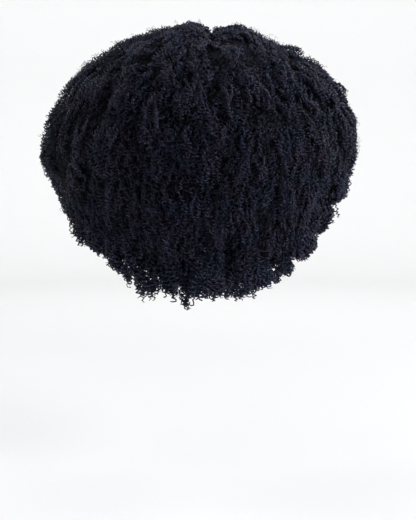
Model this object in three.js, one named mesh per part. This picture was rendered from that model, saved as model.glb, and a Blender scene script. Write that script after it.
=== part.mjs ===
import * as THREE from 'three';

// Half wig: short, full, coily hair on a cap that is open at the front and below.
// Millimetres, Z up. The wearer faces +Y, and the wearer's right is +X.
// The origin is the highest point of the cap's inside.
// A turn is an angle about Z: 0 at the back, 90 at the wearer's right, 180 in front.

// Cap, inside sizes
const capWidth = 152;
const capLength = 194;
const capDepth = 105; // from the crown down to the widest level
const capWall = 1.5;
const capColumns = 40;
const capRings = 11;

// How far down the cap reaches, as an angle from the crown, the same on both sides
const capEdge = [
  { turn: 0, angle: 133 },
  { turn: 50, angle: 124 },
  { turn: 90, angle: 101 },
  { turn: 135, angle: 50 },
  { turn: 180, angle: 36 },
];

// Sewn pieces lie this far apart, which leaves room for the flats between their points
const seamGap = 1;
const bandWidth = 14;
const bandThickness = 1.2;

// Combs on the band, with the spine along the edge and the teeth towards the crown
const combWidth = 38;
const combSpine = 5;
const combThickness = 1.4;
const toothLength = 15;
const toothWidth = 2.2;
const teeth = 8;
const combInset = 4; // from the cap's edge to the spine
const combs = [
  { name: 'comb_nape', turn: 0 },
  { name: 'comb_right', turn: 90 },
  { name: 'comb_front', turn: 180 },
  { name: 'comb_left', turn: 270 },
];

// Outer form of the hair, measured from the parting
const partOffset = 5; // the parting lies to the wearer's right of the middle
const reachLeft = 179;
const reachRight = 157;
const reachBack = 168;
const reachFront = 118;
const riseLeft = 48; // above the inside of the cap's top, left of the parting
const riseRight = 45;
const widestDrop = 88; // below the inside of the cap's top
const hairDrop = 236; // the longest locks, at the nape
const slopeLeft = 1.1; // how far the top falls away to each side: 1 would be round
const slopeRight = 1.2;
const slopeMiddle = 1.1;
const taper = 0.36; // share of the reach lost from the widest level to the longest locks
const taperPower = 1.2;

// The hem rises from the nape to the brow: shares of hairDrop on each side, and how far
// the locks of the lowest row, under the cap's edge, hang below a straight line to the hem
const hem = [
  { turn: 0, left: 1.0, right: 1.0, hang: 0.12 },
  { turn: 30, left: 0.97, right: 0.96, hang: 0.12 },
  { turn: 45, left: 0.91, right: 0.89, hang: 0.11 },
  { turn: 60, left: 0.82, right: 0.78, hang: 0.1 },
  { turn: 90, left: 0.63, right: 0.61, hang: 0.09 },
  { turn: 135, left: 0.41, right: 0.41, hang: 0.07 },
  { turn: 180, left: 0.3, right: 0.3, hang: 0.05 },
];

// Rows of hair from the crown down. A row's root is the share of the way from the crown
// to the cap's edge where its backing starts, and its droop is how much lower the locks end.
const rows = [
  { name: 'hair_crown', root: 0, droop: 0, locks: 22 },
  { name: 'hair_row_upper', root: 0.24, droop: 0.17, locks: 26 },
  { name: 'hair_row_middle', root: 0.42, droop: 0.17, locks: 28 },
  { name: 'hair_row_lower', root: 0.6, droop: 0.16, locks: 30 },
  { name: 'hair_row_nape', root: 0.77, droop: 0.13, locks: 32 },
];
const underRows = { root: 1, droop: 0, free: true }; // nothing lies below the lowest row
const droopPower = 4; // the locks stand away from the cap first, then fall along the form
const bends = [0, 0.4, 0.65, 0.8]; // depths at which the side of a row bends
const rowGap = 2; // between two rows at their roots
const hemGap = 6; // between the locks' ends and the row below
const tuck = 0.05; // a row's top lies this share of the hair's depth under the row above
const valleyDepth = 0.115; // the furrow between two locks, as a share of the hair's depth
const lockUnevenness = 0.25; // of a lock's width, and of the furrow's depth
const hangNotch = 0.8; // share of the hang that is missing between two locks of the lowest row
const partDepth = 13; // the parting at the crown
const partReach = 0.1; // share of the way down to which the parting runs at its full depth

const hairColour = '#14131a';

function radians(degrees) {
  return (degrees * Math.PI) / 180;
}

// Reads a column of a table by a smooth curve through its rows, level at both ends
function readTable(table, column, turn) {
  let i = 0;
  while (i < table.length - 2 && turn > table[i + 1].turn) {
    i += 1;
  }
  const slope = (k) => {
    if (k === 0 || k === table.length - 1) {
      return 0;
    }
    return (table[k + 1][column] - table[k - 1][column]) / (table[k + 1].turn - table[k - 1].turn);
  };
  const span = table[i + 1].turn - table[i].turn;
  const u = (turn - table[i].turn) / span;
  const rise = table[i + 1][column] - table[i][column];
  const bend = u * (1 - u);
  const level = table[i][column] + rise * (3 * u * u - 2 * u * u * u);
  return level + bend * span * ((1 - u) * slope(i) - u * slope(i + 1));
}

function sideOf(turn) {
  const whole = ((turn % 360) + 360) % 360;
  return whole <= 180 ? { side: 'right', fromBack: whole } : { side: 'left', fromBack: 360 - whole };
}

function edgeAngle(turn) {
  return readTable(capEdge, 'angle', sideOf(turn).fromBack);
}

// A point at an angle from the crown, on the cap's inside moved outwards by a distance
function capPoint(turn, angle, out) {
  const across = Math.sin(radians(angle));
  return new THREE.Vector3(
    (capWidth / 2 + out) * across * Math.sin(radians(turn)),
    -(capLength / 2 + out) * across * Math.cos(radians(turn)),
    (capDepth + out) * Math.cos(radians(angle)) - capDepth,
  );
}

// The hair's outer form at a height, with its spread as a share of the reach on each side
function formPoint(turn, spreadShare, height) {
  const sine = Math.sin(radians(turn));
  const cosine = Math.cos(radians(turn));
  const across = sine > 0 ? reachRight : -reachLeft;
  const along = cosine > 0 ? -reachBack : reachFront;
  return new THREE.Vector3(
    partOffset + across * Math.abs(sine) * Math.pow(spreadShare, sine > 0 ? slopeRight : slopeLeft),
    along * Math.abs(cosine) * Math.pow(spreadShare, slopeMiddle),
    height,
  );
}

// A point of the outer form, at a share of the way from the top down to the hem
function outerPoint(turn, share) {
  const { side, fromBack } = sideOf(turn);
  const domeHeight = (side === 'left' ? riseLeft : riseRight) + widestDrop;
  const hemHeight = -hairDrop * readTable(hem, side, fromBack);
  const dome = Math.PI / 2;
  const fallLength = domeHeight * dome;
  const below = -widestDrop - hemHeight;
  const hemWay = below > 0 ? dome + (below / fallLength) * dome : Math.acos(-below / domeHeight);
  const way = share * hemWay;
  if (way <= dome) {
    return formPoint(turn, Math.sin(way), domeHeight * Math.cos(way) - widestDrop);
  }
  const fall = (way / dome - 1) * fallLength;
  const lost = taper * Math.pow(fall / (hairDrop - widestDrop), taperPower);
  return formPoint(turn, 1 - lost, -widestDrop - fall);
}

// A point in the hair: depth 0 at the roots and 1 at the outer form
function hairPoint(turn, depth, share) {
  const root = capPoint(turn, Math.min(share, 1) * edgeAngle(turn), capWall + seamGap);
  return root.lerp(outerPoint(turn, share), depth);
}

// Where the boundary below a row of locks runs at a depth, on its upper (-1) or lower (1) side
function boundary(turn, root, droop, depth, side) {
  const bend = Math.pow(depth, droopPower);
  const gap = rowGap + (hemGap - rowGap) * bend;
  const length = hairPoint(turn, depth, 1).distanceTo(hairPoint(turn, depth, 0));
  return root + droop * bend + (side * gap) / 2 / length;
}

function uneven(seed) {
  const wave = Math.sin(seed * 12.9898) * 43758.5453;
  return (wave - Math.floor(wave)) * 2 - 1;
}

// The turns at which a row has its furrows and ridges, in order
function lockColumns(row, index) {
  const step = 360 / (row.locks * 2);
  return Array.from({ length: row.locks * 2 }, (_, i) => {
    const isRidge = i % 2 === 1;
    const fixed = i === 0 || i === row.locks;
    const shift = fixed ? 0 : uneven(i + index * 97) * lockUnevenness * step;
    const vary = 1 + uneven(i * 3 + index * 31) * lockUnevenness;
    const furrow = isRidge ? (1 - vary) * 0.25 : vary;
    return { turn: i * step + shift, furrow: Math.max(furrow, 0) * valleyDepth };
  });
}

function spread(from, to, steps) {
  return Array.from({ length: steps + 1 }, (_, i) => from + ((to - from) * i) / steps);
}

// How deep the parting cuts at a turn and a share of the way down, as a share of the depth
function partCut(turn, share) {
  const alongPart = Math.pow(Math.abs(Math.cos(radians(turn))), 40);
  const fade = Math.exp(-Math.pow(share / partReach, 2) / 2);
  const atTop = share === 0 ? 1 : alongPart;
  return (partDepth / (riseLeft - capWall)) * atTop * fade;
}

// Underside of a row, from its root out to just before the locks' ends
function underside(column, next, tip) {
  const last = (bends[bends.length - 1] + tip) / 2;
  const { fromBack } = sideOf(column.turn);
  const notch = 1 - (hangNotch * column.furrow) / valleyDepth;
  const hang = next.free ? hairDrop * notch * readTable(hem, 'hang', fromBack) : 0;
  return [...bends, last].map((depth) => {
    const share = boundary(column.turn, next.root, next.droop, depth, -1);
    const point = hairPoint(column.turn, depth, share);
    point.z -= hang * (1 - Math.pow(2 * depth - 1, 2));
    return point;
  });
}

// Face of a row, from the locks' ends up to its top
function face(column, tip, lowShare, topDepth, topShare, steps) {
  return spread(0, 1, steps).map((u) => {
    const share = lowShare + (topShare - lowShare) * u;
    const depth = tip + (topDepth - tip) * Math.pow(u, 2) - partCut(column.turn, share);
    return hairPoint(column.turn, depth, share);
  });
}

// Top of a row, from its face back to the root
function topside(column, root, droop) {
  return bends.toReversed().map((depth) => {
    const share = boundary(column.turn, root, droop, depth, 1);
    return hairPoint(column.turn, depth, share);
  });
}

function rowSection(column, row, next) {
  const tip = 1 - column.furrow;
  const topDepth = tip - tuck;
  const lowShare = boundary(column.turn, next.root, next.droop, tip, -1);
  const topShare = boundary(column.turn, row.root, row.droop, topDepth, 1);
  const rootTop = boundary(column.turn, row.root, row.droop, 0, 1);
  const rootLow = boundary(column.turn, next.root, next.droop, 0, -1);
  const roots = spread(rootTop, rootLow, 3).slice(1, -1);
  return [
    ...underside(column, next, tip),
    ...face(column, tip, lowShare, topDepth, topShare, 3),
    ...topside(column, row.root, row.droop),
    ...roots.map((share) => hairPoint(column.turn, 0, share)),
  ];
}

function crownSection(column, next) {
  const tip = 1 - column.furrow;
  const lowShare = boundary(column.turn, next.root, next.droop, tip, -1);
  const rootLow = boundary(column.turn, next.root, next.droop, 0, -1);
  const roots = spread(0, rootLow, 3).slice(0, -1);
  const outer = [1, 0.8, 0.58, 0.36, 0.17, 0.06, 0].map((u) => {
    const share = lowShare * u;
    const depth = 1 - column.furrow * Math.sqrt(u) - partCut(column.turn, share);
    return hairPoint(column.turn, depth, share);
  });
  return [
    ...roots.map((share) => hairPoint(column.turn, 0, share)),
    ...underside(column, next, tip),
    ...outer,
  ];
}

// One closed body from points and triangles, turned so that its faces point out
function body(points, triangles) {
  const volume = triangles.reduce((sum, [a, b, c]) => {
    const cross = new THREE.Vector3().crossVectors(points[b], points[c]);
    return sum + points[a].dot(cross);
  }, 0);
  const outward = volume < 0 ? triangles.map(([a, b, c]) => [a, c, b]) : triangles;
  const geometry = new THREE.BufferGeometry().setFromPoints(points);
  geometry.setIndex(outward.flat());
  geometry.computeVertexNormals();
  return geometry;
}

// A ring: one closed section in each column, joined round
function ring(sections) {
  const count = sections[0].length;
  const triangles = [];
  sections.forEach((_, i) => {
    const near = i * count;
    const far = ((i + 1) % sections.length) * count;
    for (let j = 0; j < count; j += 1) {
      const k = (j + 1) % count;
      triangles.push([near + j, far + j, far + k], [near + j, far + k, near + k]);
    }
  });
  return body(sections.flat(), triangles);
}

// A dome: sections that all start at one point on the axis and end at another
function dome(sections) {
  const count = sections[0].length - 2;
  const points = sections.flatMap((section) => section.slice(1, -1));
  const start = points.length;
  const end = start + 1;
  points.push(sections[0][0], sections[0][count + 1]);
  const triangles = [];
  sections.forEach((_, i) => {
    const near = i * count;
    const far = ((i + 1) % sections.length) * count;
    triangles.push([start, far, near]);
    for (let j = 0; j < count - 1; j += 1) {
      triangles.push([near + j, far + j, far + j + 1], [near + j, far + j + 1, near + j + 1]);
    }
    triangles.push([end, near + count - 1, far + count - 1]);
  });
  return body(points, triangles);
}

function capGeometry() {
  const sections = spread(0, 360, capColumns).slice(0, -1).map((turn) => {
    const angles = spread(0, edgeAngle(turn), capRings);
    const inside = angles.map((angle) => capPoint(turn, angle, 0));
    const outside = angles.map((angle) => capPoint(turn, angle, capWall)).reverse();
    return [...inside, ...outside];
  });
  return dome(sections);
}

// The angle that a length along the cap takes, near a turn's edge
function lengthAngle(turn, length) {
  const edge = edgeAngle(turn);
  const step = 1;
  const perDegree = capPoint(turn, edge, 0).distanceTo(capPoint(turn, edge - step, 0));
  return (length / perDegree) * step;
}

function bandGeometry() {
  const outside = -seamGap;
  const inside = outside - bandThickness;
  const sections = spread(0, 360, capColumns).slice(0, -1).map((turn) => {
    const low = edgeAngle(turn);
    const high = low - lengthAngle(turn, bandWidth);
    return [
      capPoint(turn, low, inside),
      capPoint(turn, low, outside),
      capPoint(turn, high, outside),
      capPoint(turn, high, inside),
    ];
  });
  return ring(sections);
}

// A comb's flat outline, with x along the spine and y from its back to the tooth tips
function combOutline() {
  const gap = (combWidth - teeth * toothWidth) / (teeth - 1);
  const pitch = toothWidth + gap;
  const tip = combSpine + toothLength;
  const points = [];
  for (let i = 0; i < teeth; i += 1) {
    const left = i * pitch - combWidth / 2;
    const right = left + toothWidth;
    points.push([left, combSpine], [left + toothWidth * 0.25, tip]);
    points.push([right - toothWidth * 0.25, tip], [right, combSpine]);
  }
  for (let i = teeth - 1; i >= 0; i -= 1) {
    points.push([i * pitch + toothWidth / 2 - combWidth / 2, 0]);
  }
  return new THREE.Shape(points.map(([x, y]) => new THREE.Vector2(x, y)));
}

// A comb bent to lie on the band's inner side
function combGeometry(turn) {
  const flat = new THREE.ExtrudeGeometry(combOutline(), { depth: combThickness, bevelEnabled: false });
  const position = flat.getAttribute('position');
  const middle = edgeAngle(turn) - lengthAngle(turn, combInset);
  const perDegreeAcross = capPoint(turn + 0.5, middle, 0).distanceTo(capPoint(turn - 0.5, middle, 0));
  const top = -seamGap - bandThickness - seamGap - combThickness;
  for (let i = 0; i < position.count; i += 1) {
    const pointTurn = turn + position.getX(i) / perDegreeAcross;
    const angle = middle - lengthAngle(turn, position.getY(i));
    const point = capPoint(pointTurn, angle, top + position.getZ(i));
    position.setXYZ(i, point.x, point.y, point.z);
  }
  flat.computeVertexNormals();
  return flat;
}

function hairGeometry(index) {
  const row = rows[index];
  const next = rows[index + 1] ?? underRows;
  const columns = lockColumns(row, index);
  if (index === 0) {
    return dome(columns.map((column) => crownSection(column, next)));
  }
  return ring(columns.map((column) => rowSection(column, row, next)));
}

function piece(name, geometry, look) {
  const mesh = new THREE.Mesh(geometry, new THREE.MeshStandardMaterial({ metalness: 0, ...look }));
  mesh.name = name;
  return mesh;
}

const wig = new THREE.Group();
wig.name = 'half_wig';
wig.add(piece('wig_cap', capGeometry(), { color: '#1b1a1c', roughness: 0.9 }));
wig.add(piece('edge_band', bandGeometry(), { color: '#161517', roughness: 0.8 }));
combs.forEach((comb) => {
  wig.add(piece(comb.name, combGeometry(comb.turn), { color: '#0e0e10', roughness: 0.35 }));
});
rows.forEach((row, index) => {
  wig.add(piece(row.name, hairGeometry(index), { color: hairColour, roughness: 0.7 }));
});

export default wig;
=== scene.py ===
import math

import bpy
import numpy as np
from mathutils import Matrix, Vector
from mathutils.bvhtree import BVHTree


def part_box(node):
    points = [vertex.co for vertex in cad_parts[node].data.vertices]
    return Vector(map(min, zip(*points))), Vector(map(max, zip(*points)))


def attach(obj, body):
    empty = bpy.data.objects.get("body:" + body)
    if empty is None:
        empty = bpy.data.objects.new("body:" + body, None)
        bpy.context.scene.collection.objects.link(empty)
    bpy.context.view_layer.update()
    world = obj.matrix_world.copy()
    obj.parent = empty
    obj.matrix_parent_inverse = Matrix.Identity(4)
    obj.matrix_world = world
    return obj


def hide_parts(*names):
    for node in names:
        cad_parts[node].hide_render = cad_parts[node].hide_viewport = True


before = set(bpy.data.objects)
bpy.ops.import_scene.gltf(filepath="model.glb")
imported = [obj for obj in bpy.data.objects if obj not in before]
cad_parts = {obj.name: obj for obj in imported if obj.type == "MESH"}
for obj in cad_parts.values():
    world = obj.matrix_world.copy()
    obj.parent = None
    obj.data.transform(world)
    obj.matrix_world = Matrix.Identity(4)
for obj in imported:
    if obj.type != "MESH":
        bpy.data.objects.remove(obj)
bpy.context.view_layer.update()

# Hair rows from the crown down, named as in the frame, and how many curls each of their locks has
ROW_CURLS = {
    "hair_crown": 9,
    "hair_row_upper": 11,
    "hair_row_middle": 11,
    "hair_row_lower": 12,
    "hair_row_nape": 8,
}
ROWS = list(ROW_CURLS)
CROWN_ROW = 0
HEM_ROW = len(ROWS) - 1

# The photograph's frame in pixels, and the camera that it was taken with, in metres
PHOTO_WIDTH = 416
PHOTO_HEIGHT = 520
PIXEL = 1.0526e-3  # what one pixel spans at the middle of the wig
CAMERA_DISTANCE = 1.25
CAMERA_PITCH = math.radians(5)
CAMERA_SIDE = 0.0016
MIDDLE_DROP = 0.204  # the photograph's middle is this far below the origin
FLOOR_DROP = 0.436  # and the floor this far

# The middle of the wig, from which the hair's outer form is measured, under the parting
cap_low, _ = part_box("wig_cap")
PART_SIDE = 0.005
MIDDLE_SHARE = 0.6  # of the way down the cap
CENTRE = np.array([PART_SIDE, 0.0, MIDDLE_SHARE * cap_low[2]])

# Coils of hair, in metres
COIL_RADIUS = 0.00155
COIL_PITCH = 0.0038
STRAND_RADIUS = 0.00065
SEGMENTS = 4.3  # points in one turn of a coil
LOCK_WIDTH = 0.023
LOCK_STEP = 0.025  # between the tips of one ring of locks and the next
LOCK_LENGTH = 0.044
CURL_DEPTH = 0.0015  # the middle of the curls lies this far under the outer form
UP = Vector((0, 0, 1))

SEED = 386
rng = np.random.default_rng(SEED)


def unit(v):
    shortest = 1e-9
    return v / np.maximum(np.linalg.norm(v, axis=-1, keepdims=True), shortest)


def direction(turn, angle):
    """The way out from the middle of the wig. Turn 0 is the back, and angle 0 is straight up."""
    across = np.sin(angle)
    return np.stack([across * np.sin(turn), -across * np.cos(turn), np.cos(angle)], axis=-1)


# Camera

def camera_axes():
    forward = np.array([0.0, math.cos(CAMERA_PITCH), -math.sin(CAMERA_PITCH)])
    up = np.array([0.0, math.sin(CAMERA_PITCH), math.cos(CAMERA_PITCH)])
    eye = np.array([CAMERA_SIDE, -CAMERA_DISTANCE, -MIDDLE_DROP + CAMERA_DISTANCE * math.tan(CAMERA_PITCH)])
    return eye, forward, up


def photo_pixels(points):
    """Where points of the object lie in the photograph's frame."""
    eye, forward, up = camera_axes()
    away = points - eye
    depth = away @ forward
    focal = CAMERA_DISTANCE / PIXEL
    across = PHOTO_WIDTH / 2 + focal * away[..., 0] / depth
    down = PHOTO_HEIGHT / 2 - focal * (away @ up) / depth
    return across, down


def add_camera():
    eye, forward, _ = camera_axes()
    data = bpy.data.cameras.new("camera")
    data.sensor_fit = "VERTICAL"
    data.angle = 2 * math.atan(PHOTO_HEIGHT / 2 * PIXEL / CAMERA_DISTANCE)
    camera = bpy.data.objects.new("camera", data)
    camera.location = eye
    camera.rotation_euler = (math.pi / 2 - CAMERA_PITCH, 0, 0)
    bpy.context.scene.collection.objects.link(camera)
    bpy.context.scene.camera = camera


# The outer form of the hair, read from the frame's hair rows

TURNS = 180
ANGLES = 150
LAST_ANGLE = math.radians(150)
FORM_BLUR = 2.5  # in cells of the map
EDGE_BLUR = 4


def hair_tree():
    points = []
    faces = []
    owners = []
    for row, name in enumerate(ROWS):
        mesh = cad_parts[name].data
        start = len(points)
        points += [v.co.copy() for v in mesh.vertices]
        faces += [[start + i for i in p.vertices] for p in mesh.polygons]
        owners += [row] * len(mesh.polygons)
    return BVHTree.FromPolygons(points, faces), owners


def blur(grid, turns, angles):
    """Smooths a map over a number of its cells each way. Turns go round, and angles stop at both ends."""
    def weights(reach):
        steps = np.arange(-int(3 * reach), int(3 * reach) + 1)
        w = np.exp(-0.5 * (steps / reach) ** 2)
        return steps, w / w.sum()

    steps, w = weights(turns)
    around = sum(k * np.roll(grid, s, axis=0) for s, k in zip(steps, w))
    if angles == 0:
        return around
    steps, w = weights(angles)
    index = np.arange(grid.shape[1])
    return sum(k * around[:, np.clip(index + s, 0, grid.shape[1] - 1)] for s, k in zip(steps, w))


def shifted(turn, angle, aside):
    """The turn and angle of places that lie so many radians aside of a line from the crown down."""
    ahead = direction(turn, angle)
    square = np.stack([np.cos(turn), np.sin(turn), np.zeros_like(turn)], axis=-1)
    way = ahead * np.cos(aside)[..., None] + square * np.sin(aside)[..., None]
    return np.arctan2(way[..., 0], -way[..., 1]), np.arccos(np.clip(way[..., 2], -1, 1))


class Form:
    """The outer form as a distance from the middle of the wig, with each row's top and low edge on it."""

    def __init__(self):
        self.tree, self.owners = hair_tree()
        far = 0.4
        turns = np.arange(TURNS) * 2 * math.pi / TURNS
        angles = np.arange(ANGLES) * LAST_ANGLE / (ANGLES - 1)
        reach = np.full((TURNS, ANGLES), np.nan)
        owner = np.full((TURNS, ANGLES), -1)
        for i, turn in enumerate(turns):
            for j, angle in enumerate(angles):
                away = Vector(direction(turn, angle))
                hit = self.tree.ray_cast(Vector(CENTRE) + away * far, -away, far)
                if hit[0] is not None:
                    reach[i, j] = far - hit[3]
                    owner[i, j] = self.owners[hit[2]]
        for i in range(TURNS):
            last = np.nonzero(owner[i] >= 0)[0].max()
            reach[i, last + 1:] = reach[i, last]
        self.reach = blur(reach, FORM_BLUR, FORM_BLUR)
        self.step = angles[1]
        self.top, self.low = [], []
        for row in range(len(ROWS)):
            inside = [np.nonzero(owner[i] == row)[0] for i in range(TURNS)]
            self.top.append(self.round_edge([cells.min() for cells in inside]))
            self.low.append(self.round_edge([cells.max() for cells in inside]))
        self.top[CROWN_ROW][:] = 0.0

    def round_edge(self, cells):
        return blur(np.array(cells, float)[:, None] * self.step, EDGE_BLUR, 0)[:, 0]

    def cells_at(self, turn):
        """The cells on both sides of a turn, and its share of the way from the first to the second."""
        place = np.mod(turn, 2 * math.pi) / (2 * math.pi) * TURNS
        i = np.floor(place).astype(int) % TURNS
        return i, (i + 1) % TURNS, place - np.floor(place)

    def at(self, table, turn):
        """A value that is known at each turn, read between them."""
        i, k, share = self.cells_at(turn)
        return table[i] * (1 - share) + table[k] * share

    def distance(self, turn, angle):
        last = ANGLES - 1.001  # just short of the last cell, so that there is one after it
        place = np.clip(angle / self.step, 0, last)
        j = np.floor(place).astype(int)
        share = place - j
        i, k, turn_share = self.cells_at(turn)
        near = self.reach[i, j] * (1 - share) + self.reach[i, j + 1] * share
        far = self.reach[k, j] * (1 - share) + self.reach[k, j + 1] * share
        return near * (1 - turn_share) + far * turn_share

    def point(self, turn, angle, lift):
        return CENTRE + direction(turn, angle) * (self.distance(turn, angle) + lift)[..., None]


# Furrows between the locks as the photograph shows them from behind: where each starts and
# ends in the photograph's pixels, its half width in pixels and its depth in metres
FURROWS = [
    {"start": (212, 26), "end": (213, 40), "width": 3, "depth": 0.003},
    {"start": (214, 56), "end": (215, 88), "width": 5.5, "depth": 0.009},
    {"start": (189, 44), "end": (182, 72), "width": 6, "depth": 0.0065},
    {"start": (182, 72), "end": (163, 108), "width": 6, "depth": 0.007},
    {"start": (163, 108), "end": (170, 124), "width": 6, "depth": 0.007},
    {"start": (151, 44), "end": (142, 68), "width": 5, "depth": 0.006},
    {"start": (104, 66), "end": (95, 82), "width": 5, "depth": 0.005},
    {"start": (109, 92), "end": (96, 122), "width": 6, "depth": 0.006},
    {"start": (134, 114), "end": (139, 170), "width": 5, "depth": 0.006},
    {"start": (91, 120), "end": (80, 152), "width": 6, "depth": 0.005},
    {"start": (265, 40), "end": (270, 62), "width": 5, "depth": 0.0055},
    {"start": (270, 62), "end": (282, 100), "width": 5, "depth": 0.005},
    {"start": (270, 36), "end": (282, 42), "width": 6, "depth": 0.003},
    {"start": (322, 200), "end": (340, 208), "width": 5, "depth": 0.008},
    {"start": (306, 228), "end": (324, 238), "width": 5, "depth": 0.008},
    {"start": (284, 252), "end": (298, 268), "width": 4, "depth": 0.008},
    {"start": (272, 262), "end": (284, 280), "width": 4, "depth": 0.009},
    {"start": (292, 66), "end": (310, 98), "width": 5, "depth": 0.0045},
    {"start": (253, 118), "end": (257, 152), "width": 6, "depth": 0.007},
    {"start": (330, 124), "end": (334, 146), "width": 6, "depth": 0.005},
    {"start": (210, 178), "end": (212, 196), "width": 5, "depth": 0.007},
    {"start": (216, 206), "end": (212, 220), "width": 5, "depth": 0.006},
    {"start": (230, 238), "end": (228, 274), "width": 6, "depth": 0.011},
    {"start": (277, 186), "end": (273, 214), "width": 5, "depth": 0.006},
    {"start": (138, 240), "end": (143, 260), "width": 6, "depth": 0.007},
    {"start": (156, 252), "end": (159, 270), "width": 5, "depth": 0.005},
    {"start": (192, 262), "end": (190, 278), "width": 5, "depth": 0.006},
    {"start": (90, 172), "end": (84, 190), "width": 5, "depth": 0.006},
    {"start": (129, 190), "end": (127, 226), "width": 5, "depth": 0.006},
]

# Dips that run from back to front over the top: their place and half width across, and depth, in metres
DIPS = [
    {"side": 0.0050, "width": 0.050, "depth": 0.0015},
    {"side": -0.0045, "width": 0.009, "depth": 0.0045},
    {"side": 0.0150, "width": 0.011, "depth": 0.0035},
    {"side": 0.0052, "width": 0.003, "depth": 0.0040},
]

# Lumps of the outline, charted in the same way as the furrows, with their height as depth
LUMPS = [
    {"start": (42, 130), "end": (44, 172), "width": 14, "depth": 0.0045},
    {"start": (54, 186), "end": (66, 214), "width": 12, "depth": 0.0060},
    {"start": (62, 206), "end": (66, 224), "width": 10, "depth": 0.0040},
    {"start": (76, 232), "end": (92, 254), "width": 12, "depth": 0.0120},
    {"start": (106, 264), "end": (112, 268), "width": 9, "depth": 0.0080},
    {"start": (308, 238), "end": (300, 254), "width": 13, "depth": 0.0095},
    {"start": (290, 262), "end": (281, 272), "width": 10, "depth": 0.0110},
    {"start": (51, 156), "end": (53, 174), "width": 9, "depth": 0.0070},
    {"start": (338, 92), "end": (340, 98), "width": 8, "depth": 0.0050},
    {"start": (300, 51), "end": (322, 70), "width": 12, "depth": 0.0035},
    {"start": (110, 48), "end": (90, 64), "width": 10, "depth": 0.0038},
    {"start": (339, 198), "end": (346, 178), "width": 9, "depth": 0.0045},
    {"start": (236, 26), "end": (243, 27), "width": 7, "depth": 0.0015},
    {"start": (349, 124), "end": (352, 156), "width": 13, "depth": 0.0030},
]

# Where lumps and furrows fade out toward the front and dips fade out downwards, and over what length
LUMP_FRONT = 0.03
LUMP_FADE = 0.014
FURROW_FRONT = 0.02
FURROW_FADE = 0.008
DIP_LOW = 0.012
DIP_FADE = 0.004


def charted(table, across, down):
    """The depth of the charted lines at places in the photograph."""
    depth = np.zeros(across.shape)
    for line in table:
        start = np.array(line["start"], float)
        along = np.array(line["end"], float) - start
        share = ((across - start[0]) * along[0] + (down - start[1]) * along[1]) / (along @ along)
        share = np.clip(share, 0, 1)
        aside = np.hypot(across - start[0] - share * along[0], down - start[1] - share * along[1])
        depth = np.maximum(depth, line["depth"] * np.exp(-((aside / line["width"]) ** 2)))
    return depth


def fading(distance, over):
    """A share that falls from one to zero, through a half where the distance is zero."""
    return 1 / (1 + np.exp(distance / over))


def lump_height(points):
    """How far the lumps stand out at points of the hair."""
    across, down = photo_pixels(points)
    return charted(LUMPS, across, down) * fading(points[..., 1] - LUMP_FRONT, LUMP_FADE)


def furrow_depth(points):
    """How far the furrows and dips cut in at points of the hair."""
    across, down = photo_pixels(points)
    depth = charted(FURROWS, across, down) * fading(points[..., 1] - FURROW_FRONT, FURROW_FADE)
    top = fading(DIP_LOW - points[..., 2], DIP_FADE)
    for dip in DIPS:
        aside = (points[..., 0] - dip["side"]) / dip["width"]
        depth = depth + top * dip["depth"] * np.exp(-(aside ** 2))
    return depth


def shaped(points):
    """Points of the hair moved in by the furrows and dips and out by the lumps, and how far in."""
    cut = furrow_depth(points)
    return points - unit(points - CENTRE) * (cut - lump_height(points))[..., None], cut


# Coils

CORNERS = 3  # of a tube's section
FEWEST_TURNS = 2
CROWDING = 0.75  # under 1 a coil's turns lie closer together toward its tip
RADIUS_SWING = 0.38  # how uneven the turns' radius is, as a share of it
RADIUS_WAVE = 2.3  # in turns, as the other waves are
TURN_SWING = 1.2  # how unevenly a coil winds, in radians
TURN_WAVE = 1.9
LINE_SWING = 0.0008  # how far its middle line wanders, in metres
ASIDE_WAVE = 3.1
OUTWARD_WAVE = 3.7
SWINGS = [(0.55, 0.8, 1.25), (0.45, 0.4, 0.6)]  # the waves' shares, and their slowest and fastest rates
ROOT_RADIUS = 0.35  # of the coil's own radius
OPENING_RATE = 6  # a coil opens to its own radius over the first sixth of its length
TIP_FLARE = 0.2
ROOT_THICKNESS = 0.5  # of the strand's own
ROOT_TAPER = 8  # how fast the strand reaches its own thickness from there
TIP_THICKNESS = 0.35
TIP_TAPER = 9
ROOT_SHADE = 0.55  # painted shade: the roots are drawn darker than the tips
SHADE_RISE = 0.45


def resample(paths, count):
    """Points along each path, on a smooth curve through its points, ever closer toward its tip."""
    places = np.linspace(0, 1, count) ** CROWDING * (paths.shape[1] - 1)
    i = np.clip(places.astype(int), 0, paths.shape[1] - 2)
    u = (places - i)[None, :, None]
    before = paths[:, np.maximum(i - 1, 0)]
    start = paths[:, i]
    end = paths[:, i + 1]
    after = paths[:, np.minimum(i + 2, paths.shape[1] - 1)]
    a = 2 * start
    b = end - before
    c = 2 * before - 5 * start + 4 * end - after
    d = -before + 3 * start - 3 * end + after
    return 0.5 * (a + b * u + c * u ** 2 + d * u ** 3)


def wander(place, wave, n):
    """A smooth random swing between about -1 and 1 along each coil, with waves about so many turns long."""
    swing = 0
    for share, slowest, fastest in SWINGS:
        rate = rng.uniform(slowest, fastest, (n, 1))
        start = rng.uniform(0, 1, (n, 1))
        swing = swing + share * np.sin(2 * math.pi * (place / wave * rate + start))
    return swing


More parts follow.
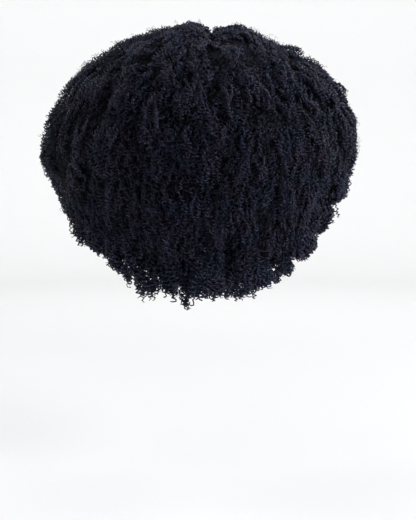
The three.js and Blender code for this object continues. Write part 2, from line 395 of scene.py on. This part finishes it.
def coils(paths, turns, radius, strand, segments):
    """Closed tubes that wind round the paths: their points, triangles and shares of length."""
    count = int(turns * segments) + 1
    line = resample(paths, count)
    n = len(line)
    u = np.linspace(0, 1, count)[None, :]
    along = unit(np.gradient(line, axis=1))
    outward = line - CENTRE
    outward = unit(outward - (outward * along).sum(-1, keepdims=True) * along)
    aside = np.cross(along, outward)
    phase = rng.uniform(0, 2 * math.pi, (n, 1))
    hand = rng.choice([-1.0, 1.0], (n, 1))
    uneven = 1 + RADIUS_SWING * wander(u * turns, RADIUS_WAVE, n)
    swing = phase + hand * 2 * math.pi * turns * u + TURN_SWING * wander(u * turns, TURN_WAVE, n)
    opening = ROOT_RADIUS + (1 - ROOT_RADIUS) * np.minimum(1, u * OPENING_RATE)
    wide = radius[:, None] * uneven * opening * (1 + TIP_FLARE * u ** 3)
    stray = aside * wander(u * turns, ASIDE_WAVE, n)[..., None]
    stray = stray + outward * wander(u * turns, OUTWARD_WAVE, n)[..., None]
    line = line + stray * LINE_SWING
    spoke = np.cos(swing)[..., None] * outward + np.sin(swing)[..., None] * aside
    middle = line + spoke * wide[..., None]
    way = unit(np.gradient(middle, axis=1))
    other = unit(np.cross(way, spoke))
    spoke = np.cross(other, way)
    thinning = np.minimum(u * ROOT_TAPER + ROOT_THICKNESS, (1 - u) * TIP_TAPER + TIP_THICKNESS)
    thick = strand[:, None] * np.clip(thinning, 0, 1)
    corners = []
    for k in range(CORNERS):
        turn = 2 * math.pi * k / CORNERS
        corners.append(middle + thick[..., None] * (math.cos(turn) * spoke + math.sin(turn) * other))
    points = np.stack(corners, axis=2).reshape(-1, 3)

    i = np.arange(count - 1)[:, None] * CORNERS
    k = np.arange(CORNERS)[None, :]
    a, b = i + k, i + (k + 1) % CORNERS
    c, d = a + CORNERS, b + CORNERS
    sides = np.concatenate([np.stack([a, b, d], -1).reshape(-1, 3), np.stack([a, d, c], -1).reshape(-1, 3)])
    last = (count - 1) * CORNERS
    ends = np.array([[0, 2, 1], [last, last + 1, last + 2]])
    tube = np.concatenate([sides, ends])
    triangles = tube[None] + (np.arange(n) * count * CORNERS)[:, None, None]
    shares = np.broadcast_to(u[..., None], (n, count, CORNERS))
    return points, triangles.reshape(-1, 3), shares.reshape(-1)


class Bundle:
    """Gathers the tubes of one piece, with a tone for each point that carries random tone and painted
    shade, into one mesh.
    """

    def __init__(self):
        self.points, self.triangles, self.tones = [], [], []
        self.count = 0
        self.core_triangles = 0

    def add(self, points, triangles, tones):
        self.points.append(points)
        self.triangles.append(triangles + self.count)
        self.tones.append(tones)
        self.count += len(points)

    def add_coils(self, paths, lengths, radius, strand, tone, segments=SEGMENTS, pitch=COIL_PITCH):
        """Winds coils round paths in groups that have nearly the same number of turns."""
        turns = np.maximum(FEWEST_TURNS, np.round(lengths / pitch))
        for value in np.unique(turns):
            chosen = turns == value
            points, triangles, u = coils(paths[chosen], value, radius[chosen], strand[chosen], segments)
            shades = np.repeat(tone[chosen], len(u) // chosen.sum())
            # painted shade: each point's tone falls from tip to root
            self.add(points, triangles, np.clip(shades * (ROOT_SHADE + SHADE_RISE * u), 0, 1))

    def mesh(self, name):
        points = np.concatenate(self.points)
        triangles = np.concatenate(self.triangles)
        mesh = bpy.data.meshes.new(name)
        mesh.vertices.add(len(points))
        mesh.vertices.foreach_set("co", points.astype(np.float32).ravel())
        mesh.loops.add(triangles.size)
        mesh.loops.foreach_set("vertex_index", triangles.astype(np.int32).ravel())
        mesh.polygons.add(len(triangles))
        mesh.polygons.foreach_set("loop_start", np.arange(len(triangles), dtype=np.int32) * 3)
        mesh.polygons.foreach_set("use_smooth", np.ones(len(triangles), bool))
        in_core = np.arange(len(triangles)) < self.core_triangles
        mesh.polygons.foreach_set("material_index", in_core.astype(np.int32))
        tone = mesh.attributes.new("tone", "FLOAT", "POINT")
        tone.data.foreach_set("value", np.concatenate(self.tones).astype(np.float32))
        mesh.update(calc_edges=True)
        mesh.validate()
        return mesh


# Locks

STEPS = 10  # points along a curl's path
TUCK = 0.012  # how far a row's curls start under the row above
OVERHANG = -0.009  # how far ordinary locks pass the hem
FRONT_OVERHANG = 0.005  # the same toward the front
FRONT_COSINE = -0.35  # cosine of the turn where the front begins
FRONT_BLEND = 0.08
UNEVEN = 0.45  # how far a lock's tip may lie off its ring, as a share of the step between rings
HEM_UNEVEN = 0.15
HEM_SLOPE = 0.4  # share of the form's own slope in the way that locks hang below the hem
FEWEST_LOCKS = 3
LEAST_ANGLE = 0.02
LEAST_ROOM = 0.006  # a lock with less room than this, in metres, is left off
PLACE_JITTER = 0.3  # of the way between two locks
BROAD_WAVES = 0.0018
SMALL_WAVES = 0.0009
LOCK_LENGTHS = (0.85, 1.15)
LOCK_LIFTS = (-0.0030, 0.0015)
LOCK_TONES = (0.25, 1.0)

# How the curls of one lock differ, as shares of the ordinary or in metres
CURL_JITTER = 0.3
CURL_LENGTHS = (0.8, 1.12)
CURL_TONES = (0.6, 1.0)
CURL_RADII = (0.7, 1.25)
CURL_STRANDS = (0.8, 1.15)
SLANT = 0.009  # how far a whole lock leans aside at its roots
DRIFT = 0.005
SWAYS = (0.0008, 0.0042)
SWAY_WAVES = (0.7, 2.2)
LAYER = 0.0042
FLARE_JITTER = 0.002
ROOT_DIVE = 0.008  # the roots lie this much deeper
ROOT_BULGE = 0.35
SHADED_CUT = 0.005  # painted shade: curls are drawn darkest where they are cut in this deep
CUT_SHADE = 0.75

# How the curls of a lock lie: how wide the lock is and how far its middle stands proud, how much it narrows
# to its tip, how uneven the tips are and how far they stand out, and the size and roundness of the coils
# next to the ordinary ones
CROWN_LOCK = {"width": LOCK_WIDTH, "proud": 0.0022, "narrowing": 0.1, "ragged": 0.011, "flare": -0.002,
              "coil": 1.0, "round": 1.0}
INNER_LOCK = {"width": LOCK_WIDTH, "proud": 0.0042, "narrowing": 0.2, "ragged": 0.009, "flare": -0.001,
              "coil": 1.0, "round": 1.0}
HEM_LOCK = {"width": 0.021, "proud": 0.0048, "narrowing": 0.6, "ragged": 0.0065, "flare": 0.0015,
            "coil": 1.25, "round": 1.25}
HEM_CURLS = 10
TIP_CURLS = 13


def swell(turn, angle):
    """Broad soft waves in and out over the whole form."""
    waves = np.sin(5 * turn + 1.3 * np.sin(2 * angle)) * np.cos(2.2 * angle + 0.8 * np.sin(3 * turn))
    return BROAD_WAVES * waves + SMALL_WAVES * np.sin(11 * turn + 4 * angle)


def lock_curls(form, row, turn, tip_angle, length, lift, curls, style):
    """The paths of one ring of locks' curls, from their roots to their tips, their lengths, and the painted
    shade of curls cut in by furrows and dips.
    """
    locks = len(turn)
    shape = (locks, curls)
    spots = (np.arange(curls) + 0.5) / curls * 2 - 1
    aside = rng.permuted(np.broadcast_to(spots, shape), axis=1)
    aside = aside + rng.uniform(-CURL_JITTER, CURL_JITTER, shape)
    curl_length = length[:, None] * rng.uniform(*CURL_LENGTHS, shape)
    reach = form.distance(turn, tip_angle)[:, None]
    curl_tip = tip_angle[:, None] + rng.uniform(-1, 1, shape) * style["ragged"] / reach
    u = np.linspace(0, 1, STEPS)
    angle = curl_tip[..., None] - (1 - u) * (curl_length / reach)[..., None]
    slant = rng.uniform(-SLANT, SLANT, locks)[:, None, None] * (1 - u)
    drift = rng.uniform(-DRIFT, DRIFT, shape)[..., None] * (u - 0.5) + slant
    sway = rng.uniform(*SWAYS, shape)[..., None]
    waves = rng.uniform(*SWAY_WAVES, shape)[..., None]
    start = rng.uniform(0, 1, shape)[..., None]
    sway = sway * np.sin(2 * math.pi * (u * waves + start))
    narrow = 1 - style["narrowing"] * u ** 1.5
    lateral = aside[..., None] * style["width"] / 2 * narrow + drift + sway
    curl_turn, angle = shifted(turn[:, None, None], angle, lateral / reach[..., None])
    across_lock = (1 - np.clip(aside, -1, 1) ** 2)[..., None]
    bulge = style["proud"] * across_lock * (ROOT_BULGE + (1 - ROOT_BULGE) * u)
    dive = ROOT_DIVE * (1 - u) ** 3
    layer = rng.uniform(-LAYER, 0.0, shape)[..., None]
    flare = (style["flare"] + rng.uniform(-FLARE_JITTER, FLARE_JITTER, shape))[..., None] * u ** 4
    height = lift[:, None, None] + bulge - dive + layer + flare - CURL_DEPTH
    if row == HEM_ROW:
        points = hanging(form, row, curl_turn, angle, height)
    else:
        points = form.point(curl_turn, angle, height)
    points, cut = shaped(points)
    # painted shade: curls that lie in furrows and dips are drawn darker
    shade = 1 - CUT_SHADE * np.clip(cut.mean(axis=-1) / SHADED_CUT, 0, 1)
    return points.reshape(-1, STEPS, 3), curl_length.reshape(-1), shade.reshape(-1)


def hanging(form, row, turn, angle, lift):
    """Points on the form down to the hem, and below it straight on and then down."""
    hem = form.at(form.low[row], turn)
    on_form = form.point(turn, np.minimum(angle, hem), lift)
    excess = np.maximum(angle - hem, 0) * form.distance(turn, hem)
    step = 0.01
    slope = unit(form.point(turn, hem, lift) - form.point(turn, hem - step, lift))
    down = np.array([0.0, 0.0, -1.0])
    return on_form + excess[..., None] * unit(HEM_SLOPE * slope + (1 - HEM_SLOPE) * down)


def add_locks(form, row, bundle):
    """The rings of locks of one row, from its low edge up."""
    top, low = form.top[row], form.low[row]
    middle = (top + low) / 2
    grid = np.arange(TURNS) * 2 * math.pi / TURNS
    away = form.distance(grid, middle)
    longest = ((low - top) * away).max()
    rings = int(longest / LOCK_STEP) + 1
    past = np.full(TURNS, OVERHANG)
    if row == HEM_ROW:
        past += (FRONT_OVERHANG - OVERHANG) * fading(np.cos(grid) - FRONT_COSINE, FRONT_BLEND)
    for ring in range(rings):
        tip = low + (past - ring * LOCK_STEP) / form.distance(grid, low)
        around = form.point(grid, np.maximum(tip, LEAST_ANGLE), np.zeros(TURNS))
        girth = np.linalg.norm(np.roll(around, -1, axis=0) - around, axis=1).sum()
        count = max(FEWEST_LOCKS, int(round(girth / LOCK_WIDTH)))
        place = np.arange(count) + rng.uniform(-PLACE_JITTER, PLACE_JITTER, count) + (ring % 2) / 2
        turn = place * 2 * math.pi / count
        at_hem = ring == 0 and row == HEM_ROW
        uneven = LOCK_STEP * (HEM_UNEVEN if at_hem else UNEVEN)
        tip_angle = form.at(tip, turn) + rng.uniform(-uneven, uneven, count) / form.at(away, turn)
        room = (tip_angle - form.at(top, turn)) * form.at(away, turn)
        kept = room > LEAST_ROOM
        turn, tip_angle, room = turn[kept], tip_angle[kept], room[kept]
        if len(turn) == 0:
            continue
        length = np.minimum(LOCK_LENGTH * rng.uniform(*LOCK_LENGTHS, len(turn)), room + TUCK)
        if at_hem:
            add_lock_curls(form, row, bundle, turn, tip_angle, length, HEM_CURLS, HEM_LOCK)
        else:
            style = CROWN_LOCK if row == CROWN_ROW else INNER_LOCK
            add_lock_curls(form, row, bundle, turn, tip_angle, length, ROW_CURLS[ROWS[row]], style)


def add_lock_curls(form, row, bundle, turn, tip_angle, length, curls, style):
    """Locks that end at given places, each with so many curls."""
    lift = rng.uniform(*LOCK_LIFTS, len(turn)) + swell(turn, tip_angle)
    paths, lengths, shade = lock_curls(form, row, turn, tip_angle, length, lift, curls, style)
    n = len(paths)
    tone = np.repeat(rng.uniform(*LOCK_TONES, len(turn)), curls) * shade * rng.uniform(*CURL_TONES, n)
    radius = COIL_RADIUS * style["coil"] * rng.uniform(*CURL_RADII, n)
    strand = STRAND_RADIUS * style["coil"] * rng.uniform(*CURL_STRANDS, n)
    segments = SEGMENTS * style["round"]
    bundle.add_coils(paths, lengths, radius, strand, tone, segments, COIL_PITCH * style["coil"])


# Tips of the locks along the hem, in the photograph's pixels
HEM_TIPS = [
    {"across": 50, "down": 192}, {"across": 62, "down": 209}, {"across": 69, "down": 222},
    {"across": 77, "down": 241}, {"across": 84, "down": 252}, {"across": 98, "down": 259},
    {"across": 104, "down": 267}, {"across": 117, "down": 270}, {"across": 128, "down": 281},
    {"across": 142, "down": 295}, {"across": 156, "down": 291}, {"across": 170, "down": 294},
    {"across": 187, "down": 303}, {"across": 196, "down": 293}, {"across": 206, "down": 292},
    {"across": 218, "down": 291}, {"across": 228, "down": 289}, {"across": 238, "down": 290},
    {"across": 249, "down": 285}, {"across": 262, "down": 280}, {"across": 282, "down": 284},
    {"across": 298, "down": 278}, {"across": 306, "down": 264}, {"across": 319, "down": 258},
    {"across": 318, "down": 236}, {"across": 332, "down": 222}, {"across": 341, "down": 208},
    {"across": 350, "down": 196},
]
TIP_TURNS = np.radians(np.linspace(-100, 100, 201))  # where their places are looked for round the hem
TIP_PASTS = np.linspace(-0.02, 0.035, 56)  # and how far past it, in metres
TIP_LENGTHS = (0.034, 0.046)
TIP_LIFT = -0.002
PAST_PENALTY = 500  # pixels that a tip may be off to save a metre past the hem


def add_hem_tips(form, bundle):
    """Locks that end where the photograph shows tips along the hem."""
    row = HEM_ROW
    hem = form.at(form.low[row], TIP_TURNS)
    turn, excess = np.meshgrid(TIP_TURNS, TIP_PASTS, indexing="ij")
    angle = hem[:, None] + excess / form.distance(TIP_TURNS, hem)[:, None]
    across, down = photo_pixels(hanging(form, row, turn, angle, np.full(turn.shape, TIP_LIFT)))
    chosen_turn, chosen_angle = [], []
    for tip in HEM_TIPS:
        apart = np.hypot(across - tip["across"], down - tip["down"]) + PAST_PENALTY * np.abs(excess)
        i, j = np.unravel_index(apart.argmin(), apart.shape)
        chosen_turn.append(turn[i, j])
        chosen_angle.append(angle[i, j])
    turn, angle = np.array(chosen_turn), np.array(chosen_angle)
    length = rng.uniform(*TIP_LENGTHS, len(turn))
    add_lock_curls(form, row, bundle, turn, angle, length, TIP_CURLS, HEM_LOCK)


FRIZZ_COUNT = 220
FRIZZ_STEPS = 4
FRIZZ_LENGTHS = (0.006, 0.013)
FRIZZ_RISES = (0.2, 1.0)  # how far they stand off, as shares of their greatest rise
FRIZZ_RISE = 0.6  # of their length
FRIZZ_SLIDES = (0.2, 0.9)  # how far they run along the surface, as shares of their length
LEAST_SINE = 0.2  # keeps those near the top of the crown from sweeping round it
FRIZZ_RADII = (0.0008, 0.0019)
FRIZZ_STRAND = 0.00018
FRIZZ_PITCH = 0.005
FRIZZ_SEGMENTS = 5
FRIZZ_TONES = (0.5, 1.0)
FRIZZ_LIFT = 0.0005


def add_frizz(form, row, bundle):
    """Fine single strands that stand off the surface."""
    count = FRIZZ_COUNT
    turn = rng.uniform(0, 2 * math.pi, count)
    top, low = form.at(form.top[row], turn), form.at(form.low[row], turn)
    angle = np.arccos(np.cos(top) + (np.cos(low) - np.cos(top)) * rng.uniform(0, 1, count))
    u = np.linspace(0, 1, FRIZZ_STEPS)[None, :]
    length = rng.uniform(*FRIZZ_LENGTHS, count)
    out = rng.uniform(*FRIZZ_RISES, count)[:, None] * length[:, None] * u * FRIZZ_RISE
    slide = rng.uniform(*FRIZZ_SLIDES, count)[:, None] * length[:, None] * u
    reach = form.distance(turn, angle)[:, None]
    round_reach = reach * np.maximum(np.sin(angle), LEAST_SINE)[:, None]
    path_turn = turn[:, None] + rng.uniform(-1, 1, count)[:, None] * slide / round_reach
    points = form.point(path_turn, angle[:, None] + slide / reach, out + FRIZZ_LIFT - CURL_DEPTH)
    points, _ = shaped(points)
    radius = rng.uniform(*FRIZZ_RADII, count)
    strand = np.full(count, FRIZZ_STRAND)
    tone = rng.uniform(*FRIZZ_TONES, count)
    bundle.add_coils(points, length, radius, strand, tone, FRIZZ_SEGMENTS, FRIZZ_PITCH)


def cap_tree():
    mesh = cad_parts["wig_cap"].data
    points = [v.co.copy() for v in mesh.vertices]
    return BVHTree.FromPolygons(points, [list(p.vertices) for p in mesh.polygons])


UNDER_STEPS = 5
UNDER_SPACING = 0.012
UNDER_JITTER = 0.45
UNDER_LENGTHS = (0.012, 0.019)
UNDER_ROOT = 0.010  # how deep inside the row they start
UNDER_LEAN = 0.25
UNDER_RADII = (0.8, 1.15)
UNDER_STRANDS = (0.85, 1.1)
UNDER_TONES = (0.3, 0.8)
RAY_START = -0.4  # below everything
RAY_LENGTH = 0.45


def underside_starts(form, cap, row):
    """Places where a row faces down outside the cap, on an uneven grid."""
    low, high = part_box(ROWS[row])
    starts = []
    for x in np.arange(low[0], high[0], UNDER_SPACING):
        for y in np.arange(low[1], high[1], UNDER_SPACING):
            px = x + rng.uniform(-UNDER_JITTER, UNDER_JITTER) * UNDER_SPACING
            py = y + rng.uniform(-UNDER_JITTER, UNDER_JITTER) * UNDER_SPACING
            below = Vector((px, py, RAY_START))
            hit = form.tree.ray_cast(below, UP, RAY_LENGTH)
            if hit[0] is None or form.owners[hit[2]] != row:
                continue
            if cap.ray_cast(below, UP, hit[3])[0] is None:
                starts.append(hit[0])
    return np.array(starts)


def add_underside(form, cap, row, bundle):
    """Short curls that hang from under a row."""
    starts = underside_starts(form, cap, row)
    n = len(starts)
    if n == 0:
        return
    length = rng.uniform(*UNDER_LENGTHS, n)
    u = np.linspace(0, 1, UNDER_STEPS)[None, :, None]
    outward = starts - CENTRE
    outward[:, 2] = 0
    lean = unit(outward) * UNDER_LEAN + rng.uniform(-UNDER_LEAN, UNDER_LEAN, (n, 3))
    lean[:, 2] = -1
    lean = unit(lean)
    points = starts[:, None] + lean[:, None] * (u * length[:, None, None] - UNDER_ROOT)
    radius = COIL_RADIUS * rng.uniform(*UNDER_RADII, n)
    strand = STRAND_RADIUS * rng.uniform(*UNDER_STRANDS, n)
    bundle.add_coils(points, length, radius, strand, rng.uniform(*UNDER_TONES, n))


CORE_DEPTH = 0.0068
HEM_CORE_DEPTH = 0.005  # how much deeper it lies along the hem
CORE_LUMP = 0.005  # how far it follows the lumps at most
CORE_TONE = 0.1
LUMP_START = 0.03  # the lumps move it from this depth under the outer form on, and fully
LUMP_RAMP = 0.02  # this much further out


def add_core(form, row, bundle):
    """The mass inside the row, drawn dark as painted shade: its solid from the frame, drawn in under the
    locks.
    """
    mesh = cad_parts[ROWS[row]].data
    count = len(mesh.vertices)
    points = np.empty(count * 3)
    mesh.vertices.foreach_get("co", points)
    points = points.reshape(-1, 3)
    away = points - CENTRE
    distance = np.linalg.norm(away, axis=1)
    angle = np.arccos(np.clip(away[:, 2] / distance, -1, 1))
    turn = np.arctan2(away[:, 0], -away[:, 1])
    reach = form.distance(turn, angle)
    most = reach - CORE_DEPTH - furrow_depth(points)
    if row == HEM_ROW:
        top, low = form.at(form.top[row], turn), form.at(form.low[row], turn)
        most -= HEM_CORE_DEPTH * np.clip((angle - top) / (low - top), 0, 1) ** 2
    outer = np.clip((distance - reach + LUMP_START) / LUMP_RAMP, 0, 1)
    lump = np.minimum(lump_height(points), CORE_LUMP) * outer
    points = CENTRE + away / distance[:, None] * (np.minimum(distance, most) + lump)[:, None]
    mesh.calc_loop_triangles()
    triangles = np.empty(len(mesh.loop_triangles) * 3, dtype=np.int32)
    mesh.loop_triangles.foreach_get("vertices", triangles)
    bundle.add(points, triangles.reshape(-1, 3), np.full(count, CORE_TONE))
    bundle.core_triangles = len(mesh.loop_triangles)


# Materials

class Surface:
    """A material made node by node, on the object's own coordinates."""

    def __init__(self, name):
        self.made = bpy.data.materials.new(name)
        self.made.use_nodes = True
        self.nodes = self.made.node_tree.nodes
        self.links = self.made.node_tree.links
        self.shader = self.nodes["Principled BSDF"]
        self.place = None

    def texture(self, kind, **inputs):
        """A texture with some of its inputs set, named with underscores for blanks."""
        if self.place is None:
            self.place = self.nodes.new("ShaderNodeTexCoord")
        node = self.nodes.new(kind)
        for name, value in inputs.items():
            node.inputs[name.replace("_", " ")].default_value = value
        self.links.new(self.place.outputs["Object"], node.inputs["Vector"])
        return node

    def noise(self, **inputs):
        return self.texture("ShaderNodeTexNoise", **inputs).outputs["Fac"]

    def ranged(self, source, low, high, first=0.0, last=1.0):
        """A value between low and high carried over to first and last, and held there past them."""
        node = self.nodes.new("ShaderNodeMapRange")
        node.inputs["From Min"].default_value = low
        node.inputs["From Max"].default_value = high
        node.inputs["To Min"].default_value = first
        node.inputs["To Max"].default_value = last
        self.links.new(source, node.inputs["Value"])
        return node.outputs["Result"]

    def blend(self, factor, first, second):
        """A mix of two colours, each a tuple or another node's output."""
        node = self.nodes.new("ShaderNodeMix")
        node.data_type = "RGBA"
        self.links.new(factor, node.inputs["Factor"])
        for name, colour in (("A", first), ("B", second)):
            if isinstance(colour, tuple):
                node.inputs[name].default_value = (*colour, 1)
            else:
                self.links.new(colour, node.inputs[name])
        return node.outputs["Result"]

    def bump(self, height, distance, strength=1.0):
        node = self.nodes.new("ShaderNodeBump")
        node.inputs["Strength"].default_value = strength
        node.inputs["Distance"].default_value = distance
        self.links.new(height, node.inputs["Height"])
        self.drive("Normal", node.outputs["Normal"])

    def drive(self, name, source):
        self.links.new(source, self.shader.inputs[name])

    def fix(self, name, value):
        self.shader.inputs[name].default_value = value


def hair_material():
    """Black hair that turns from blue to violet in patches, with a fine grain along the strands."""
    hair = Surface("coily_hair")
    tone = hair.nodes.new("ShaderNodeAttribute")
    tone.attribute_name = "tone"
    blue_black = (0.0060, 0.0078, 0.0212)
    violet_black = (0.0108, 0.0080, 0.0198)
    deepest = (0.0010, 0.0010, 0.0018)
    blue_sheen = (0.51, 0.64, 1.0)
    violet_sheen = (0.73, 0.65, 0.99)
    patches = hair.ranged(hair.noise(Scale=45, Detail=3), low=0.38, high=0.62)
    fine = hair.noise(Scale=900, Detail=3)
    hue = hair.blend(patches, blue_black, violet_black)
    hair.drive("Specular Tint", hair.blend(patches, blue_sheen, violet_sheen))
    # Painted shade: the tone attribute is lower at the roots and in the furrows, besides tone that differs
    # at random, and where it and the grain are low the base colour falls to the deepest black.
    lit = hair.nodes.new("ShaderNodeMath")
    lit.operation = "MULTIPLY"
    hair.links.new(tone.outputs["Fac"], lit.inputs[0])
    hair.links.new(hair.ranged(fine, low=0.35, high=0.65, first=0.2, last=1.4), lit.inputs[1])
    hair.drive("Base Color", hair.blend(lit.outputs["Value"], deepest, hue))
    hair.drive("Roughness", hair.ranged(fine, low=0.3, high=0.7, first=0.70, last=0.15))
    hair.bump(fine, distance=0.0004, strength=0.5)
    hair.fix("Specular IOR Level", 0.53)
    return hair.made


def core_material():
    """The shaded depth between the curls, with a grain like theirs."""
    core = Surface("hair_depth")
    # Painted shade: the inner hair is drawn nearly black, darker than the curls
    black = (0.0004, 0.0004, 0.0006)
    dark = (0.012, 0.012, 0.020)
    grain = core.noise(Scale=330, Detail=3, Roughness=0.6)
    core.drive("Base Color", core.blend(core.ranged(grain, low=0.46, high=0.62), black, dark))
    core.fix("Roughness", 0.8)
    core.fix("Specular IOR Level", 0.03)
    core.bump(grain, distance=0.003)
    return core.made


def net_material():
    """Stretch net with the sewn tracks of the hair wefts showing through from outside."""
    net = Surface("cap_net")
    hole = (0.006, 0.006, 0.007)
    thread = (0.060, 0.056, 0.060)
    weft_dark = (0.014, 0.013, 0.015)
    weft_light = (0.085, 0.080, 0.085)
    weft_height = 2.5  # next to the threads'
    cells = net.texture("ShaderNodeTexVoronoi", Scale=330, Randomness=0.55)
    cells.feature = "DISTANCE_TO_EDGE"
    threads = net.ranged(cells.outputs["Distance"], low=0.0, high=0.16, first=1.0, last=0.0)
    tracks = net.texture("ShaderNodeTexWave", Scale=31, Distortion=0.5, Detail_Scale=4)
    tracks.bands_direction = "Z"
    tracks.wave_profile = "SIN"
    sewn = net.ranged(tracks.outputs["Fac"], low=0.78, high=0.90)
    weft = net.blend(net.noise(Scale=420), weft_dark, weft_light)
    net.drive("Base Color", net.blend(sewn, net.blend(threads, hole, thread), weft))
    net.fix("Roughness", 0.8)
    height = net.nodes.new("ShaderNodeMath")
    height.operation = "MULTIPLY_ADD"
    height.inputs[1].default_value = weft_height
    net.links.new(sewn, height.inputs[0])
    net.links.new(threads, height.inputs[2])
    net.bump(height.outputs["Value"], distance=0.0006)
    return net.made


def elastic_material():
    """Ribbed elastic, with the ribs running along the band."""
    elastic = Surface("elastic")
    # Painted shade: the grooves between the ribs are drawn darker than the ribs
    groove = (0.012, 0.012, 0.013)
    rib = (0.050, 0.048, 0.050)
    ribs = elastic.texture("ShaderNodeTexWave", Scale=260, Distortion=0.6)
    ribs.bands_direction = "Z"
    height = ribs.outputs["Fac"]
    elastic.drive("Base Color", elastic.blend(height, groove, rib))
    elastic.fix("Roughness", 0.7)
    elastic.bump(height, distance=0.0005)
    return elastic.made


def comb_material():
    """Glossy plastic with slightly uneven wear."""
    plastic = Surface("comb_plastic")
    wear = plastic.noise(Scale=180)
    plastic.drive("Roughness", plastic.ranged(wear, low=0.0, high=1.0, first=0.18, last=0.34))
    plastic.fix("Base Color", (0.006, 0.006, 0.007, 1))
    return plastic.made


def dress(node, made):
    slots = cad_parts[node].data.materials
    slots.clear()
    slots.append(made)


# Studio

def add_studio():
    """A pale round floor that curves up into a backdrop on every side."""
    middle_radius = 0.02
    floor_radius = 2.0
    bend = 0.6
    bend_steps = 12
    height = 2.6
    sides = 96
    profile = [(middle_radius, 0.0), (floor_radius, 0.0)]
    for i in range(1, bend_steps + 1):
        turn = math.pi / 2 * i / bend_steps
        profile.append((floor_radius + bend * math.sin(turn), bend * (1 - math.cos(turn))))
    profile.append((floor_radius + bend, height))
    points = []
    for away, rise in profile:
        for i in range(sides):
            turn = 2 * math.pi * i / sides
            points.append((away * math.cos(turn), away * math.sin(turn), rise - FLOOR_DROP))
    faces = [tuple(range(sides))]
    for j in range(len(profile) - 1):
        for i in range(sides):
            k = (i + 1) % sides
            faces.append((j * sides + i, (j + 1) * sides + i, (j + 1) * sides + k, j * sides + k))
    mesh = bpy.data.meshes.new("studio_sweep")
    mesh.from_pydata(points, [], faces)
    mesh.polygons.foreach_set("use_smooth", [True] * len(faces))
    sweep = bpy.data.objects.new("studio_sweep", mesh)
    bpy.context.scene.collection.objects.link(sweep)
    white = Surface("studio_white")
    white.fix("Base Color", (0.615, 0.615, 0.611, 1))
    white.fix("Roughness", 0.9)
    white.fix("Specular IOR Level", 0.1)
    mesh.materials.append(white.made)


def add_lamp(name, place, target, size, watts, colour=(1, 1, 1), spread=180):
    data = bpy.data.lights.new(name, "AREA")
    data.shape = "DISK"
    data.size = size
    data.energy = watts
    data.color = colour
    data.spread = math.radians(spread)
    lamp = bpy.data.objects.new(name, data)
    lamp.location = place
    lamp.rotation_euler = (Vector(target) - Vector(place)).to_track_quat("-Z", "Y").to_euler()
    bpy.context.scene.collection.objects.link(lamp)


def add_lights():
    world = bpy.data.worlds.new("world")
    bpy.context.scene.world = world
    world.use_nodes = True
    around = world.node_tree.nodes["Background"]
    around.inputs["Color"].default_value = (0.96, 0.97, 1.0, 1)
    around.inputs["Strength"].default_value = 0.68
    add_lamp("key", (1.75, -1.2, 0.85), (0, 0, -0.1), size=1.3, watts=61, colour=(0.95, 0.96, 1.0))
    add_lamp("floor_left", (-1.1, -0.5, 0.5), (-1.0, -0.4, -0.4), size=0.6, watts=7.5, spread=100)
    add_lamp("floor_right", (0.75, -0.75, 0.3), (0.55, -0.55, -0.44), size=0.5, watts=2.0, spread=100)
    add_lamp("backdrop_left", (-1.3, 0.5, 1.4), (-0.4, 2.4, 0.1), size=1.0, watts=23)
    add_lamp("backdrop_right", (1.3, 0.5, 1.4), (0.4, 2.4, 0.1), size=1.0, watts=23)
    add_lamp("backdrop_low", (0, 1.2, 0.7), (0, 2.3, -0.42), size=1.0, watts=1.2, spread=110)


def add_piece(name, bundle, looks, node):
    """One hair piece in place of a row's solid, with the curls' look and the look of their depth."""
    mesh = bundle.mesh(name)
    for look in looks:
        mesh.materials.append(look)
    piece = bpy.data.objects.new(name, mesh)
    bpy.context.scene.collection.objects.link(piece)
    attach(piece, "root")
    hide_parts(node)


bpy.context.scene.view_settings.view_transform = "Standard"
add_camera()
add_studio()
add_lights()
looks = [hair_material(), core_material()]
form = Form()
cap = cap_tree()
for row, node in enumerate(ROWS):
    bundle = Bundle()
    add_core(form, row, bundle)
    add_locks(form, row, bundle)
    add_frizz(form, row, bundle)
    if row != HEM_ROW:
        add_underside(form, cap, row, bundle)
    add_piece(node.replace("hair_", "") + "_curls", bundle, looks, node)
hem = Bundle()
add_hem_tips(form, hem)
add_underside(form, cap, HEM_ROW, hem)
add_piece("hem_curls", hem, looks, ROWS[HEM_ROW])

dress("wig_cap", net_material())
dress("edge_band", elastic_material())
comb = comb_material()
for node in ("comb_nape", "comb_right", "comb_front", "comb_left"):
    dress(node, comb)
